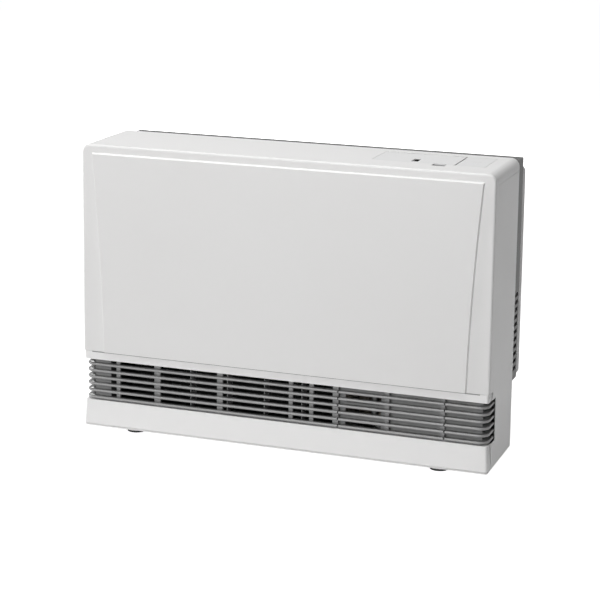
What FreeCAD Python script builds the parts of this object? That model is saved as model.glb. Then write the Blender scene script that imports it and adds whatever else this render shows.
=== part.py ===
import FreeCAD, Part
import math
import os

# Gas fan heater: wide low cabinet with a wrap-around louvre, a flued burner and a cross-flow fan.
# Millimetres, Z up, front facing -Y, origin on the floor under the middle of the whole heater.

# Overall sizes
case_width = 930.0
case_height = 638.0
case_depth = 202.0
rear_depth = 110.0
field_rise = 4.0
foot_gap = 12.0
sheet = 1.2
liner = 2.0
seam = 0.6
fit = 0.3
running = 0.05
overrun = 10.0

# Front levels, counted up from the base underside
skirt_height = 58.0
louvre_height = 94.5
rail_height = 18.9
top_skirt = 26.0

# Casing corners and returns
top_side_radius = 18.0
front_radius = 5.0
corner_return = 28.0
panel_top_return = 14.0
wrap_depth = 57.0
flange = 14.0
skirt_slope = 3.0
skirt_radius = 5.0
skirt_lip = 22.0

# Raised field on the front panel
field_band = 19.5
field_top_inset = 25.0
field_bottom_inset = 50.6
field_waist = 4.0
field_edge = 3.0

# Louvre
slat_count = 6
slat_first_share = 0.19
slat_nose = 3.1
slat_tail = 1.2
slat_depth = 16.0
louvre_setback = 2.0
louvre_corner_radius = 22.0
bar_depth = 6.0
bar_setback = 10.0
bar_width = 9.0
wide_bar_width = 13.0
section_joint_offset = 4.0
corner_joint_inset = 95.0
joint_gap = 3.0
main_bar_shares = (0.132, 0.291, 0.538, 0.8135, 0.8925)
wide_bar_shares = (0.291, 0.538)
right_bar_share = 0.455

# Hot-air outlet behind the louvre
outlet_left_inset = 75.0
outlet_depth = 70.0
vane_count = 5
vane_thick = 2.0
vane_edge_radius = 0.67
vane_depth = 30.0
backing_gap = 4.0
backing_slot_length = 80.0
backing_slot_radius = 3.00
backing_slot_inset = 14.0
backing_slot_shares = ((0.03, 0.15), (0.33, 0.55), (0.6, 0.83))

# Compartment wall between the hot-air section and the gas and electric side
wall_inset = 335.0

# Control panel in the top cover, counted from the right side and from the back of the case
lid_left_inset = 287.0
lid_width = 179.0
button_gap = 3.0
button_width = 63.0
panel_back_inset = 27.0
panel_depth = 105.0
lid_thick = 3.0
lid_barrel = 4.5
lid_pin_radius = 1.5
lid_pin_reach = 2.2
lid_gap = 0.8
lid_rim = 5.0
notch_offset = 135.0
notch_width = 28.0
notch_reach = 21.0
notch_depth = 14.0
notch_front_depth = 7.0
rib_drop = 4.0
rib_post = 12.0
window_offset = 82.0
window_width = 15.0
window_inset = 9.0
window_depth = 29.0
window_thick = 1.6
tray_depth = 34.0
tray_wall = 2.0
key_floor_drop = 18.0
key_length = 26.0
key_width = 14.0
key_rise = 3.0
key_lip = 1.5
key_lip_thick = 1.2
key_travel = 1.2
key_radius = 3.0
key_place_shares = (0.18, 0.38, 0.62, 0.82)
key_row_share = 0.4
button_thick = 3.0
button_stem = 12.0
board_drop = 26.0
board_thick = 1.6

# Cross-flow fan
fan_back_gap = 60.0
fan_drop = 102.0
fan_radius = 52.0
fan_left_inset = 95.0
fan_right_gap = 90.0
fan_disc = 2.0
fan_disc_count = 5
blade_count = 20
blade_chord = 13.0
blade_thick = 1.0
blade_bow = 2.0
shaft_radius = 5.0
hub_radius = 12.0
scroll_gap = 6.0
scroll_plate = 2.0
scroll_tail = 14.0
scroll_margin = 12.0
bearing_radius = 11.0
bearing_length = 10.0
motor_radius = 38.0
motor_length = 56.0
shaft_end = 8.0

# Burner, chamber and heat exchanger
chamber_left_inset = 165.0
chamber_wall_gap = 60.0
chamber_front_gap = 42.0
chamber_back_gap = 40.0
chamber_fan_gap = 78.0
exchanger_lift = 31.5
exchanger_height_share = 0.292
exchanger_gap_share = 0.073
burner_height_share = 0.2555
chamber_radius = 16.0
chamber_rib = 3.0
chamber_rib_count = 5
burner_wall = 1.5
bar_count = 8
burner_bar_width = 16.0
burner_bar_height = 34.0
burner_bar_radius = 5.0
manifold_radius = 9.0
manifold_gap = 16.0
nozzle_radius = 3.5
electrode_radius = 2.5
electrode_body = 5.0
electrode_body_length = 24.0
header_width = 52.0
exchanger_tube_radius = 11.0
exchanger_rows = 2
exchanger_columns = 3
fin_thick = 1.0
fin_count = 9
exhaust_radius = 20.0
exhaust_wall = 1.2
exhaust_bend = 32.0
exhaust_back_gap = 60.0
exhaust_lift = 26.0
switch_radius = 9.0
switch_height = 7.0

# Combustion blower
blower_wall_gap = 84.0
blower_back_gap = 108.0
blower_lift = 10.0
blower_radius = 62.0
blower_width = 46.0
blower_wall = 1.5
blower_duct_height = 30.0
blower_duct_width = 34.0
impeller_radius = 46.0
impeller_width = 26.0
impeller_blades = 16
impeller_blade_depth = 12.0
impeller_plate = 2.0
blower_shaft_radius = 4.0
blower_motor_radius = 30.0
blower_motor_length = 44.0
hose_radius = 18.0
hose_wall = 2.0
hose_bend = 26.0
hose_lead = 6.0

# Gas and electrics
valve_width = 74.0
valve_depth = 40.0
valve_front_share = 0.3333
valve_height = 66.0
valve_wall_gap = 38.0
valve_drop = 22.0
solenoid_radius = 12.0
solenoid_length = 18.0
solenoid_place_shares = (0.25, 0.75)
gas_pipe_radius = 8.0
gas_pipe_wall = 1.2
gas_port_gap = 6.00
gas_pipe_bend = 24.0
union_radius = 10.48
union_length = 26.0
union_shoulder_radius = 12.5
union_shoulder = 2.0
union_hex = 14.0
union_hex_length = 12.0
gas_inlet_wall_gap = 170.0
gas_inlet_lift = 58.0
board_wall_gap = 166.0
board_right_inset = 29.0
board_top_gap = 210.0
board_height = 190.0
tray_margin = 14.0
standoff_radius = 4.0
standoff_length = 12.0
component_height = 24.0
board_part_shares = (
    (0.1, 0.1, 0.3, 0.25, 1.0),
    (0.55, 0.1, 0.3, 0.2, 0.6),
    (0.12, 0.5, 0.2, 0.3, 0.7),
    (0.5, 0.45, 0.35, 0.35, 0.3),
)
gland_inset = 65.0
gland_lift = 80.0
gland_radius = 9.0
gland_head = 13.0
gland_head_length = 5.0

# Flue spigot at the back
flue_wall_gap = 60.0
flue_lift = 85.0
flue_outer_radius = 35.0
flue_shoulder_radius = 38.0
flue_shoulder = 3.0
flue_wall = 1.5
flue_length = 60.0
flue_box_half = 55.0
flue_box_depth = 52.0
flue_box_half_height = 42.0

# Rear air housing
rear_inset = 11.0
rear_bottom = 133.0
rear_top_drop = 11.5
cover_top_drop = 34.0
cover_depth = 26.0
rear_wall = 2.5
rear_radius = 12.0
rear_rim_radius = 4.00
side_slot_space_share = 0.7
side_slot_pitch = 16.6
side_slot_height = 9.0
side_slot_depth = 60.0
side_slot_start = 21.0
side_slot_inset = 14.0
filter_height = 190.0
filter_thick = 14.0
filter_frame = 10.0
filter_back_gap = 6.0
filter_bars = 5
filter_bar_width = 4.0
filter_grip = 16.0
grip_plate_thick = 5.0
grip_plate_gap = 2.0
grip_plate_depth = 24.0
grip_plate_drop = 30.0
grip_plate_slant = 50.0
inlet_columns = 6
inlet_rows = 11
inlet_slot_height = 6.0
inlet_row_pitch = 14.0
inlet_web = 12.0
inlet_side_margin = 30.0
inlet_rise = 10.0
filter_top_gap = 10.0

# Feet
foot_side_inset = 113.0
foot_inset = 35.0
pad_height = 5.0
pad_radius = 21.0
pad_top_radius = 18.0
adjuster_radius = 25.0
adjuster_height = 6.0
adjuster_teeth = 20
adjuster_tooth = 1.2
stem_radius = 5.0
stem_length = 34.0
nut_radius = 11.0
nut_height = 12.0

# Screws on the rear cover
screw_radius = 4.0
screw_head = 2.4
screw_shank = 2.0
screw_shank_length = 9.0
screw_inset = 7.0
screw_place_shares = (0.08, 0.5, 0.92)

# Middle of a quarter arc, counted in from its corner
arc_middle_share = 1 - math.sqrt(0.5)
middle_share = 0.5
full_turn = 360
hexagon_sides = 6

# Places that follow from the sizes
half = case_width / 2
front_y = field_rise - (field_rise + case_depth + rear_depth) / 2
back_y = front_y + case_depth
rear_y = back_y + rear_depth
base_z = foot_gap
top_z = base_z + case_height
skirt_top = base_z + skirt_height
louvre_top = skirt_top + louvre_height
panel_bottom = louvre_top + rail_height
seam_z = top_z - top_skirt
back_inner = back_y - sheet
louvre_y = front_y + louvre_setback
louvre_x = half - louvre_setback
wall_x = half - wall_inset
section_joint_x = wall_x + section_joint_offset
corner_joint_x = half - corner_joint_inset
outlet_left_x = outlet_left_inset - half
lid_left_x = half - lid_left_inset
lid_right_x = lid_left_x + lid_width
button_left_x = lid_right_x + button_gap
button_right_x = button_left_x + button_width
panel_back = case_depth - panel_back_inset
panel_front = panel_back - panel_depth
notch_left_x = lid_left_x + notch_offset
notch_right_x = notch_left_x + notch_width
notch_front = panel_front - notch_reach
window_left_x = lid_left_x + window_offset
window_right_x = window_left_x + window_width
window_front = panel_front + window_inset
window_back = window_front + window_depth
fan_y = back_y - fan_back_gap
fan_z = top_z - fan_drop
fan_left_x = fan_left_inset - half
fan_right_x = wall_x - fan_right_gap
chamber_left_x = chamber_left_inset - half
chamber_right_x = wall_x - chamber_wall_gap
chamber_front_y = front_y + chamber_front_gap
chamber_back_y = back_y - chamber_back_gap
chamber_top_z = fan_z - chamber_fan_gap
exchanger_bottom_z = louvre_top + exchanger_lift
stack_height = chamber_top_z - exchanger_bottom_z
exchanger_top_z = exchanger_bottom_z + exchanger_height_share * stack_height
burner_bottom_z = exchanger_top_z + exchanger_gap_share * stack_height
chamber_bottom_z = burner_bottom_z + burner_height_share * stack_height
manifold_y = chamber_front_y - manifold_gap
exhaust_y = chamber_back_y - exhaust_back_gap
exhaust_z = exchanger_bottom_z + exhaust_lift
blower_x = wall_x + blower_wall_gap
blower_y = back_y - blower_back_gap
blower_z = burner_bottom_z + blower_lift + blower_radius
valve_left_x = wall_x + valve_wall_gap
gas_inlet_x = wall_x + gas_inlet_wall_gap
gas_inlet_z = base_z + gas_inlet_lift
board_left_x = wall_x + board_wall_gap
board_right_x = half - board_right_inset
board_top_z = top_z - board_top_gap
board_bottom_z = board_top_z - board_height
gland_x = half - gland_inset
gland_z = base_z + gland_lift
flue_x = wall_x + flue_wall_gap
flue_z = base_z + flue_lift
foot_x = half - foot_side_inset


def vec(x, y, z):
    return FreeCAD.Vector(x, y, z)


AXIS_X = vec(1, 0, 0)
AXIS_Y = vec(0, 1, 0)
AXIS_Z = vec(0, 0, 1)


def save(name, shape):
    shape.exportStep("parts/" + name + ".step")


def block(x0, x1, y0, y1, z0, z1):
    return Part.makeBox(x1 - x0, y1 - y0, z1 - z0, vec(x0, y0, z0))


def rod(radius, start, axis, length):
    return Part.makeCylinder(radius, length, start, axis)


def pipe(outer, inner, start, axis, length):
    return rod(outer, start, axis, length).cut(rod(inner, start, axis, length))


def prism(points, sweep):
    return Part.Face(Part.makePolygon(points + points[:1])).extrude(sweep)


def joined(shapes):
    first = shapes[0]
    if len(shapes) == 1:
        return first
    return first.fuse(shapes[1:]).removeSplitter()


# Edges of a solid that run along an axis and pass a test on their middle point
def edges_along(solid, axis, wanted=None):
    found = []
    for edge in solid.Edges:
        if edge.Curve.TypeId != "Part::GeomLine":
            continue
        if edge.Curve.Direction.cross(axis).Length > running:
            continue
        if wanted is None or wanted(edge.CenterOfMass):
            found.append(edge)
    return found


def rounded(x0, x1, y0, y1, z0, z1, radius, axis, wanted=None):
    solid = block(x0, x1, y0, y1, z0, z1)
    return solid.makeFillet(radius, edges_along(solid, axis, wanted))


# Plan outline whose two front corners are arcs, used for the skirt and the louvre band
def front_rounded_wire(x, y0, y1, radius, z):
    swing = radius * arc_middle_share
    left_arc = Part.Arc(vec(-x, y0 + radius, z), vec(-x + swing, y0 + swing, z), vec(-x + radius, y0, z))
    right_arc = Part.Arc(vec(x - radius, y0, z), vec(x - swing, y0 + swing, z), vec(x, y0 + radius, z))
    edges = [
        Part.LineSegment(vec(-x, y1, z), vec(-x, y0 + radius, z)).toShape(),
        left_arc.toShape(),
        Part.LineSegment(vec(-x + radius, y0, z), vec(x - radius, y0, z)).toShape(),
        right_arc.toShape(),
        Part.LineSegment(vec(x, y0 + radius, z), vec(x, y1, z)).toShape(),
        Part.LineSegment(vec(x, y1, z), vec(-x, y1, z)).toShape(),
    ]
    return Part.Wire(edges)


# Round bar or tube swept along straight runs joined by tangent arcs
def bent_path(points, bend):
    edges = []
    last = points[0]
    for before, corner, after in zip(points, points[1:], points[2:]):
        into = (corner - before).normalize()
        out = (after - corner).normalize()
        start = corner - into * bend
        end = corner + out * bend
        middle = corner + (out - into) * (bend * arc_middle_share)
        edges.append(Part.LineSegment(last, start).toShape())
        edges.append(Part.Arc(start, middle, end).toShape())
        last = end
    edges.append(Part.LineSegment(last, points[-1]).toShape())
    return Part.Wire(edges)


def bent_rod(points, bend, radius):
    path = bent_path(points, bend)
    heading = points[1] - points[0]
    ring = Part.Wire(Part.makeCircle(radius, points[0], heading))
    return path.makePipeShell([ring], True, False)


def bent_tube(points, bend, radius, wall):
    return bent_rod(points, bend, radius).cut(bent_rod(points, bend, radius - wall))


# Casing


# Raised field of the front panel: straight top, gently curved sides, bevelled edge
def field_outline(spread, y):
    top = top_z - field_band + spread
    upper = half - field_top_inset + spread
    lower = half - field_bottom_inset + spread
    middle = (upper + lower) / 2 - field_waist
    middle_z = (top + panel_bottom) / 2
    edges = [
        Part.LineSegment(vec(-upper, y, top), vec(upper, y, top)).toShape(),
        Part.Arc(vec(upper, y, top), vec(middle, y, middle_z), vec(lower, y, panel_bottom)).toShape(),
        Part.LineSegment(vec(lower, y, panel_bottom), vec(-lower, y, panel_bottom)).toShape(),
        Part.Arc(vec(-lower, y, panel_bottom), vec(-middle, y, middle_z), vec(-upper, y, top)).toShape(),
    ]
    return Part.Wire(edges)


def raised_field(shift):
    foot = field_outline(field_edge / 2, front_y + shift)
    crown = field_outline(-field_edge / 2, front_y + shift - field_rise)
    return Part.makeLoft([foot, crown], True, True)


def panel_form(x, y, bottom, top, side_radius, edge_radius, back):
    solid = block(-x, x, y, back, bottom, top)
    sides = edges_along(solid, AXIS_Y, lambda point: point.z > top - running)
    solid = solid.makeFillet(side_radius, sides)
    front = [edge for edge in solid.Edges
             if abs(edge.CenterOfMass.y - y) < running and edge.CenterOfMass.z > bottom + running]
    return solid.makeFillet(edge_radius, front)


def front_panel():
    back = front_y + corner_return
    outer = panel_form(half, front_y, panel_bottom, top_z, top_side_radius, front_radius, back)
    inner = panel_form(half - sheet, front_y + sheet, panel_bottom - overrun, top_z - sheet,
                       top_side_radius - sheet, front_radius - sheet, back + overrun)
    shell = outer.fuse(raised_field(0)).cut(inner).cut(raised_field(sheet))
    room = block(-case_width, case_width, front_y + panel_top_return, back + overrun, seam_z - seam,
                 top_z + overrun)
    return shell.cut(room).removeSplitter()


def top_cover():
    start = front_y + panel_top_return + seam
    outer = rounded(-half, half, start, back_y, seam_z, top_z, top_side_radius, AXIS_Y,
                    lambda point: point.z > seam_z + running)
    inner = rounded(sheet - half, half - sheet, start - overrun, back_y - sheet, seam_z - overrun,
                    top_z - sheet,
                    top_side_radius - sheet, AXIS_Y, lambda point: point.z > seam_z)
    opening = block(lid_left_x - lid_gap, button_right_x + lid_gap, front_y + panel_front - lid_gap,
                    front_y + panel_back + lid_gap, seam_z, top_z + overrun)
    notch = block(notch_left_x, notch_right_x, front_y + notch_front, front_y + panel_front, seam_z,
                  top_z + overrun)
    return outer.cut(inner).cut(opening).cut(notch)


def right_side_panel():
    start = front_y + corner_return + seam
    top = seam_z - seam
    plate = block(half - sheet, half, start, back_y, base_z, top)
    front_flange = block(half - flange, half, start, start + sheet, base_z + sheet, top)
    rear_flange = block(half - flange, half, back_inner - sheet, back_inner, base_z + sheet, top)
    notch = block(half - flange - overrun, half + overrun, start - overrun, front_y + wrap_depth, skirt_top,
                  louvre_top)
    return joined([plate, front_flange, rear_flange]).cut(notch)


def skirt_form(inset, bottom, top, back):
    sections = [
        front_rounded_wire(half - skirt_slope - inset, front_y + skirt_slope + inset, back, skirt_radius,
                           bottom),
        front_rounded_wire(half - inset, front_y + inset, back, skirt_radius, base_z + skirt_slope),
        front_rounded_wire(half - skirt_slope - inset, front_y + skirt_slope + inset, back, skirt_radius,
                           top),
    ]
    return Part.makeLoft(sections, True, True)


def foot_places():
    rows = (front_y + foot_inset, back_y - foot_inset)
    return [(side * foot_x, y) for y in rows for side in (-1, 1)]


def base_pan():
    back = front_y + corner_return
    skirt = skirt_form(0, base_z, skirt_top, back)
    skirt = skirt.cut(skirt_form(sheet, base_z + sheet, skirt_top - sheet, back + overrun))
    skirt = skirt.cut(block(-backing_half(), backing_half(), outlet_front(), back + overrun,
                            skirt_top - sheet, skirt_top + overrun))
    floor = block(sheet - half, half - sheet, back - skirt_lip, back_inner, base_z, base_z + sheet)
    pan = skirt.fuse(floor)
    for x, y in foot_places():
        pan = pan.fuse(rod(nut_radius, vec(x, y, base_z), AXIS_Z, sheet + nut_height))
    for x, y in foot_places():
        pan = pan.cut(rod(stem_radius + running, vec(x, y, base_z - overrun), AXIS_Z, stem_length + overrun))
    return pan.removeSplitter()


def back_panel():
    plate = block(sheet - half, half - sheet, back_inner, back_y, base_z, seam_z - seam)
    cuts = []
    bay = (fan_right_x - fan_left_x) / fan_disc_count
    for index in range(fan_disc_count):
        left = fan_left_x + index * bay + flange / 2
        cuts.append(block(left, left + bay - flange, back_inner - overrun, back_y + overrun,
                          fan_z - fan_radius, fan_z + fan_radius))
    cuts.append(rod(flue_shoulder_radius, vec(flue_x, back_inner - overrun, flue_z), AXIS_Y, case_depth))
    cuts.append(rod(union_shoulder_radius, vec(gas_inlet_x, back_inner - overrun, gas_inlet_z), AXIS_Y,
                    case_depth))
    cuts.append(rod(gland_radius, vec(gland_x, back_inner - overrun, gland_z), AXIS_Y, case_depth))
    return plate.cut(cuts)


# White rail over the louvre: a channel open at the back
def louvre_rail():
    back = front_y + corner_return
    top = panel_bottom - seam
    outer = Part.Face(front_rounded_wire(louvre_x, front_y + seam, back, skirt_radius, louvre_top))
    inner = Part.Face(front_rounded_wire(louvre_x - sheet, front_y + seam + sheet, back + overrun,
                                         skirt_radius, louvre_top + sheet))
    rail = outer.extrude(vec(0, 0, top - louvre_top))
    return rail.cut(inner.extrude(vec(0, 0, top - louvre_top - 2 * sheet)))


# Louvre slats: round nose, thin tail, bent round the front corners


def slat_levels():
    pitch = (louvre_height - slat_nose) / slat_count
    return [skirt_top + slat_nose + pitch * (index + slat_first_share) for index in range(slat_count)]


# Slat section as a wire: round at the nose, with its tail slat_depth further inward
def slat_wire(nose, inward, z):
    rise = AXIS_Z
    level = vec(nose.x, nose.y, z)
    shoulder = level + inward * slat_nose
    tail = level + inward * slat_depth
    edges = [
        Part.Arc(shoulder + rise * slat_nose, level, shoulder - rise * slat_nose).toShape(),
        Part.LineSegment(shoulder - rise * slat_nose, tail - rise * slat_tail).toShape(),
        Part.LineSegment(tail - rise * slat_tail, tail + rise * slat_tail).toShape(),
        Part.LineSegment(tail + rise * slat_tail, shoulder + rise * slat_nose).toShape(),
    ]
    return Part.Wire(edges)


def upright_bar(x, width):
    y = louvre_y + bar_setback
    return block(x - width / 2, x + width / 2, y, y + bar_depth, skirt_top, louvre_top)


# A section that starts on the left flank, bends round the corner and ends at a joint on the front
def wrapped_louvre(end_x, bars):
    flank_end = front_y + wrap_depth - seam
    pieces = list(bars)
    for z in slat_levels():
        points = [vec(-louvre_x, flank_end, z), vec(-louvre_x, louvre_y, z), vec(end_x, louvre_y, z)]
        path = bent_path(points, louvre_corner_radius)
        pieces.append(path.makePipeShell([slat_wire(points[0], AXIS_X, z)], True, False))
    inner_x = bar_setback - louvre_x
    pieces.append(block(inner_x, inner_x + bar_depth, flank_end - bar_width, flank_end, skirt_top,
                        louvre_top))
    return joined(pieces)


def louvre_main():
    bars = []
    for share in main_bar_shares:
        width = wide_bar_width if share in wide_bar_shares else bar_width
        bars.append(upright_bar(share * (half + section_joint_x) - half, width))
    end_x = section_joint_x - joint_gap
    bars.append(upright_bar(end_x - wide_bar_width / 2, wide_bar_width))
    return wrapped_louvre(end_x, bars)


def louvre_right():
    right = corner_joint_x - joint_gap
    inner_bar = upright_bar(section_joint_x + right_bar_share * (right - section_joint_x), bar_width)
    bars = [inner_bar, upright_bar(right - bar_width / 2, bar_width)]
    start = vec(section_joint_x, louvre_y, 0)
    sweep = AXIS_X * (right - section_joint_x)
    slats = [Part.Face(slat_wire(start, AXIS_Y, z)).extrude(sweep) for z in slat_levels()]
    return joined(bars + slats)


def louvre_corner():
    left_form = wrapped_louvre(-corner_joint_x, [])
    return left_form.mirror(vec(0, 0, 0), AXIS_X)


# Hot-air outlet behind the louvre


def outlet_front():
    return louvre_y + slat_depth + backing_gap


def outlet_duct():
    start = outlet_front()
    end = start + outlet_depth
    floor = base_z + sheet
    outer = block(outlet_left_x, wall_x, start, end, floor, louvre_top)
    passage = block(outlet_left_x + liner, wall_x - liner, start - overrun, end - liner, skirt_top,
                    louvre_top + overrun)
    under = block(outlet_left_x + liner, wall_x - liner, start - overrun, end - liner, floor - overrun,
                  skirt_top - liner)
    return outer.cut(passage).cut(under)


def outlet_vanes():
    start = outlet_front()
    pitch = (wall_x - outlet_left_x) / (vane_count + 1)
    places = [outlet_left_x + pitch * (index + 1) for index in range(vane_count)]
    vanes = [rounded(x, x + vane_thick, start, start + vane_depth, skirt_top, louvre_top, vane_edge_radius,
                     AXIS_Z)
             for x in places]
    return Part.makeCompound(vanes)


# Half width over the two backing plates, just inside the flank bars of the louvre
def backing_half():
    return louvre_x - bar_setback - bar_depth - seam


# Grey plate between the louvre and the inside, with a return along the flank
def backing_plate(inner_x, outer_x, side):
    start = outlet_front()
    floor = base_z + sheet
    low, high = sorted((inner_x, outer_x))
    face = block(low, high, start, start + sheet, floor, louvre_top)
    flank = sorted((outer_x, outer_x - side * sheet))
    return face.fuse(block(flank[0], flank[1], start, front_y + wrap_depth, floor,
                           louvre_top)).removeSplitter()


def louvre_backing_left():
    return backing_plate(outlet_left_x, -backing_half(), -1)


def louvre_backing_right():
    plate = backing_plate(wall_x, backing_half(), 1)
    left = wall_x + backing_slot_inset
    start = outlet_front() - overrun
    back = start + slat_depth + overrun
    for low, high in backing_slot_shares:
        bottom = skirt_top + low * louvre_height
        top = skirt_top + high * louvre_height
        plate = plate.cut(rounded(left, left + backing_slot_length, start, back, bottom, top,
                                  backing_slot_radius, AXIS_Y))
    return plate


def compartment_wall():
    start = front_y + corner_return
    plate = block(wall_x, wall_x + sheet, start, back_inner, base_z + sheet, seam_z)
    level = vec(wall_x - overrun, manifold_y, manifold_z())
    plate = plate.cut(rod(manifold_radius + fit, level, AXIS_X, 2 * overrun + sheet))
    plate = plate.cut(rod(exhaust_radius + fit, vec(wall_x - overrun, exhaust_y, exhaust_z), AXIS_X,
                          2 * overrun + sheet))
    duct = blower_duct_box(fit)
    return plate.cut(block(wall_x - overrun, wall_x + overrun, duct[0], duct[1], duct[2], duct[3]))


# Control panel under the top


def panel_y(distance):
    return front_y + distance


def lid_axis_y():
    return panel_y(panel_back) - lid_barrel


def lid_axis_z():
    return top_z - lid_barrel


def key_floor_z():
    return top_z - key_floor_drop


def key_places():
    y = panel_y(panel_front) + key_row_share * (panel_back - panel_front)
    return [(lid_left_x + share * (lid_right_x - lid_left_x), y) for share in key_place_shares]


def key_block(x, y, grow, z0, z1):
    wide = key_length / 2 + grow
    deep = key_width / 2 + grow
    return rounded(x - wide, x + wide, y - deep, y + deep, z0, z1, key_radius + grow, AXIS_Z)


def button_middle():
    return (button_left_x + button_right_x) / 2, panel_y((panel_front + panel_back) / 2)


def button_stem_block(grow, z0, z1):
    x, y = button_middle()
    reach = button_stem / 2 + grow
    return block(x - reach, x + reach, y - reach, y + reach, z0, z1)


# Moulded tray: key well, button well, finger scoop, lid rests and board posts
def control_tray():
    left = lid_left_x - lid_gap
    right = button_right_x + lid_gap
    front = panel_y(panel_front) - lid_gap
    back = panel_y(panel_back) + lid_gap
    nose = panel_y(notch_front) - tray_wall
    top = top_z - sheet
    bottom = top_z - tray_depth
    floor = key_floor_z()
    tray = block(left - tray_wall, right + tray_wall, nose, back + tray_wall, bottom, top)
    tray = tray.cut(block(left, right, front, back, floor, top + overrun))
    tray = tray.cut(block(left, right, nose + tray_wall, back, bottom - overrun, floor - tray_wall))
    for x0, x1 in ((left, notch_left_x - tray_wall), (notch_right_x + tray_wall, right)):
        tray = tray.cut(block(x0, x1, nose + tray_wall, front - tray_wall, bottom, top - tray_wall))
    scoop = [
        vec(notch_left_x, panel_y(notch_front), top + overrun),
        vec(notch_left_x, panel_y(notch_front), top_z - notch_front_depth),
        vec(notch_left_x, front, top_z - notch_depth),
        vec(notch_left_x, front + overrun, top_z - notch_depth),
        vec(notch_left_x, front + overrun, top + overrun),
    ]
    tray = tray.cut(prism(scoop, AXIS_X * (notch_right_x - notch_left_x)))
    rib = block(lid_right_x + lid_gap, button_left_x - lid_gap, front, back, floor, top)
    rib = rib.cut(block(lid_right_x, button_left_x, front, lid_axis_y() - rib_post, top - rib_drop,
                        top + overrun))
    rests = [block(x, x + lid_rim, front, front + lid_rim, floor, top_z - lid_thick - fit)
             for x in (left, lid_right_x + lid_gap - lid_rim)]
    posts = [rod(standoff_radius, vec(x, y, top_z - board_drop), AXIS_Z,
                 board_drop - key_floor_drop - tray_wall)
             for x in (left + flange, right - flange) for y in (front + flange, back - flange)]
    tray = joined([tray, rib] + rests + posts)
    for x, y in key_places():
        tray = tray.cut(key_block(x, y, fit, floor - tray_wall - overrun / 2, floor + overrun))
    tray = tray.cut(button_stem_block(fit, floor - tray_wall - overrun / 2, floor + overrun))
    pin_start = vec(left - lid_pin_reach, lid_axis_y(), lid_axis_z())
    return tray.cut(rod(lid_pin_radius + running, pin_start, AXIS_X, button_left_x - left + lid_pin_reach))


def window_block(shrink, z0, z1):
    return block(window_left_x + shrink, window_right_x - shrink, panel_y(window_front) + shrink,
                 panel_y(window_back) - shrink, z0, z1)


def control_lid():
    axis_y = lid_axis_y()
    plate = rounded(lid_left_x, lid_right_x, panel_y(panel_front), axis_y, top_z - lid_thick, top_z,
                    lid_thick,
                    AXIS_Z, lambda point: point.y < axis_y - running)
    barrel = rod(lid_barrel, vec(lid_left_x, axis_y, lid_axis_z()), AXIS_X, lid_right_x - lid_left_x)
    web = block(lid_left_x, lid_right_x, axis_y - lid_barrel, axis_y, lid_axis_z(), top_z)
    lid = joined([plate, barrel, web]).cut(window_block(0, top_z - window_thick, top_z + overrun))
    for start, length in lid_pin_runs():
        lid = lid.cut(rod(lid_pin_radius, vec(start, axis_y, lid_axis_z()), AXIS_X, length))
    return lid


def lid_window():
    return window_block(running, top_z - window_thick, top_z - running)


# Start and length of the two hinge pins
def lid_pin_runs():
    length = lid_pin_reach + overrun
    return ((lid_left_x - lid_pin_reach, length), (lid_right_x - overrun, length))


def lid_hinge_pins():
    pins = [rod(lid_pin_radius, vec(start, lid_axis_y(), lid_axis_z()), AXIS_X, length)
            for start, length in lid_pin_runs()]
    return Part.makeCompound(pins)


def on_off_button():
    plate = rounded(button_left_x, button_right_x, panel_y(panel_front), panel_y(panel_back),
                    top_z - button_thick, top_z, button_thick, AXIS_Z)
    stem = button_stem_block(0, key_floor_z() - tray_wall - lid_gap, top_z - button_thick)
    x, y = button_middle()
    groove = block(x - button_stem, x + button_stem, y, y + lid_gap, top_z - lid_gap, top_z + overrun)
    return plate.fuse(stem).cut(groove).removeSplitter()


def key(index):
    x, y = key_places()[index]
    under = key_floor_z() - tray_wall - fit
    cap = key_block(x, y, 0, under, key_floor_z() + key_rise)
    lip = key_block(x, y, key_lip, under - key_lip_thick, under)
    return cap.fuse(lip).removeSplitter()


def operation_board():
    left = lid_left_x + seam
    right = button_right_x - seam
    top = top_z - board_drop
    board = block(left, right, panel_y(panel_front), panel_y(panel_back), top - board_thick, top)
    lift = board_drop - key_floor_drop - tray_wall - fit - key_lip_thick - key_travel - fit
    spots = key_places() + [button_middle()]
    switches = [rod(standoff_radius, vec(x, y, top), AXIS_Z, lift) for x, y in spots]
    return joined([board] + switches)


# Cross-flow fan


def blade(angle):
    inner = fan_radius - blade_chord
    outer = fan_radius - fan_disc
    middle = (inner + outer) / 2
    edges = [
        Part.Arc(vec(0, inner, 0), vec(0, middle, blade_bow), vec(0, outer, 0)).toShape(),
        Part.LineSegment(vec(0, outer, 0), vec(0, outer, -blade_thick)).toShape(),
        Part.Arc(vec(0, outer, -blade_thick), vec(0, middle, blade_bow - blade_thick),
                 vec(0, inner, -blade_thick)).toShape(),
        Part.LineSegment(vec(0, inner, -blade_thick), vec(0, inner, 0)).toShape(),
    ]
    solid = Part.Face(Part.Wire(edges)).extrude(AXIS_X * (fan_right_x - fan_left_x))
    solid.rotate(vec(0, 0, 0), AXIS_X, angle)
    solid.translate(vec(fan_left_x, fan_y, fan_z))
    return solid


def fan_rotor():
    pitch = (fan_right_x - fan_left_x - fan_disc) / (fan_disc_count - 1)
    pieces = []
    for index in range(fan_disc_count):
        start = vec(fan_left_x + index * pitch, fan_y, fan_z)
        at_end = index in (0, fan_disc_count - 1)
        bore = shaft_radius + running if at_end else fan_radius - blade_chord - fan_disc
        pieces.append(pipe(fan_radius, bore, start, AXIS_X, fan_disc))
        if at_end:
            pieces.append(pipe(hub_radius, bore, start, AXIS_X, fan_disc))
    pieces += [blade(full_turn / blade_count * index) for index in range(blade_count)]
    return joined(pieces)


def scroll_left_x():
    return fan_left_x - scroll_margin


def scroll_right_x():
    return fan_right_x + scroll_margin


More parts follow.
